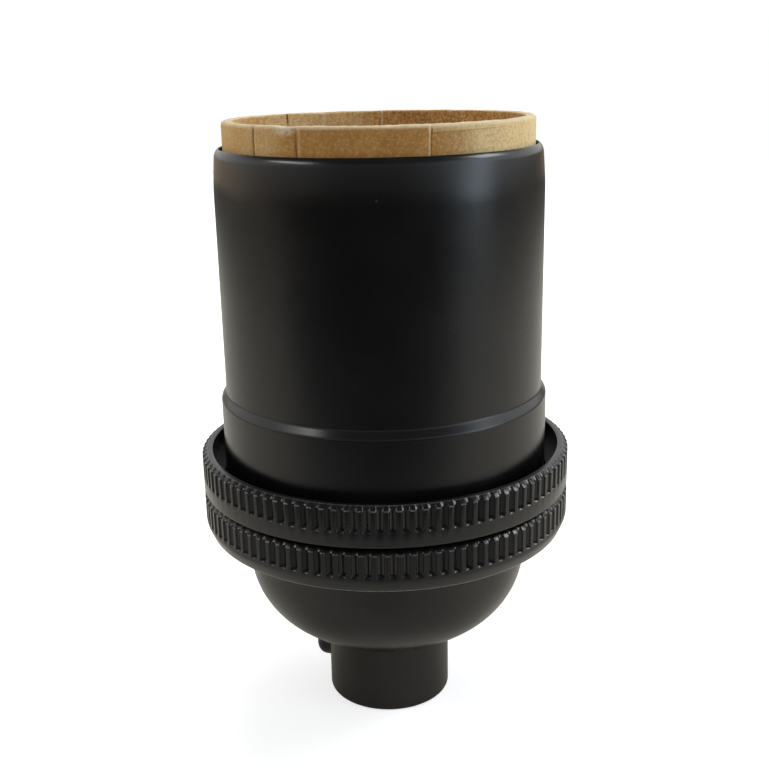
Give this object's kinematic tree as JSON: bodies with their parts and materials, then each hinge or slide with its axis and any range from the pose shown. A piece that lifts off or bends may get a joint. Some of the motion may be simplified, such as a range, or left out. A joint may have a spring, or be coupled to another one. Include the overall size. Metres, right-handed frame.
{
  "type": "lamp holder",
  "caption": "Keyless screw lamp holder: black drawn shell with a cardboard liner, knurled clamping rings, and a domed cap on a threaded hub with a set screw.",
  "frame": {"origin": "centre of the hub's lower face, on the holder's axis", "axes": "+Z along the holder's axis towards the lamp opening; +X to the right of the front view and +Y away from the viewer; the set screw points to -X and a little to +Y"},
  "size_m": [0.0398, 0.0398, 0.0645],
  "materials": {
    "black_paint": "semi-gloss black paint on drawn and turned metal",
    "screw_black": "blackened steel",
    "liner_board": "matt wound kraft board",
    "fibre": "matt pressed fibre",
    "porcelain": "glazed white porcelain",
    "brass": "plain rolled brass",
    "plated_brass": "tinned brass"
  },
  "bodies": {
    "base": {"hub": "black_paint", "cap": "black_paint", "cap_lining": "fibre", "cap_ring": "black_paint", "insulator": "porcelain", "screw_shell": "brass", "shell_rivets": "brass", "contact_rivet": "brass", "live_terminal": "brass", "neutral_terminal": "plated_brass"},
    "shell_body": {"shell": "black_paint", "liner": "liner_board"},
    "ring_body": {"shell_ring": "black_paint"},
    "set_screw_body": {"set_screw": "screw_black"},
    "contact_body": {"centre_contact": "brass"},
    "live_screw_body": {"live_terminal_screw": "brass"},
    "neutral_screw_body": {"neutral_terminal_screw": "plated_brass"}
  },
  "joints": [
    {"name": "shell_lift", "type": "slide", "parent": "base", "child": "shell_body", "axis": [0, 0, 1], "range_m": [0, 0.002]},
    {"name": "ring_turn", "type": "hinge", "parent": "shell_body", "child": "ring_body", "pos_m": [0, 0, 0.0255], "axis": [0, 0, 1], "range_deg": [0, 720]},
    {"name": "set_screw_travel", "type": "slide", "parent": "base", "child": "set_screw_body", "axis": [-0.9397, 0.342, 0], "range_m": [-0.0008, 0.0012]},
    {"name": "contact_flex", "type": "hinge", "parent": "base", "child": "contact_body", "pos_m": [-0.005, 0, 0.03358], "axis": [0, 1, 0], "range_deg": [0, 8], "stiffness_Nm_per_rad": 0.36},
    {"name": "live_screw_travel", "type": "slide", "parent": "base", "child": "live_screw_body", "axis": [-1, 0, 0], "range_m": [0, 0.002]},
    {"name": "neutral_screw_travel", "type": "slide", "parent": "base", "child": "neutral_screw_body", "axis": [1, 0, 0], "range_m": [0, 0.002]}
  ],
  "couplings": [
    {"joint": "shell_lift", "follows": "ring_turn", "m_per_rad": 0.000159}
  ]
}
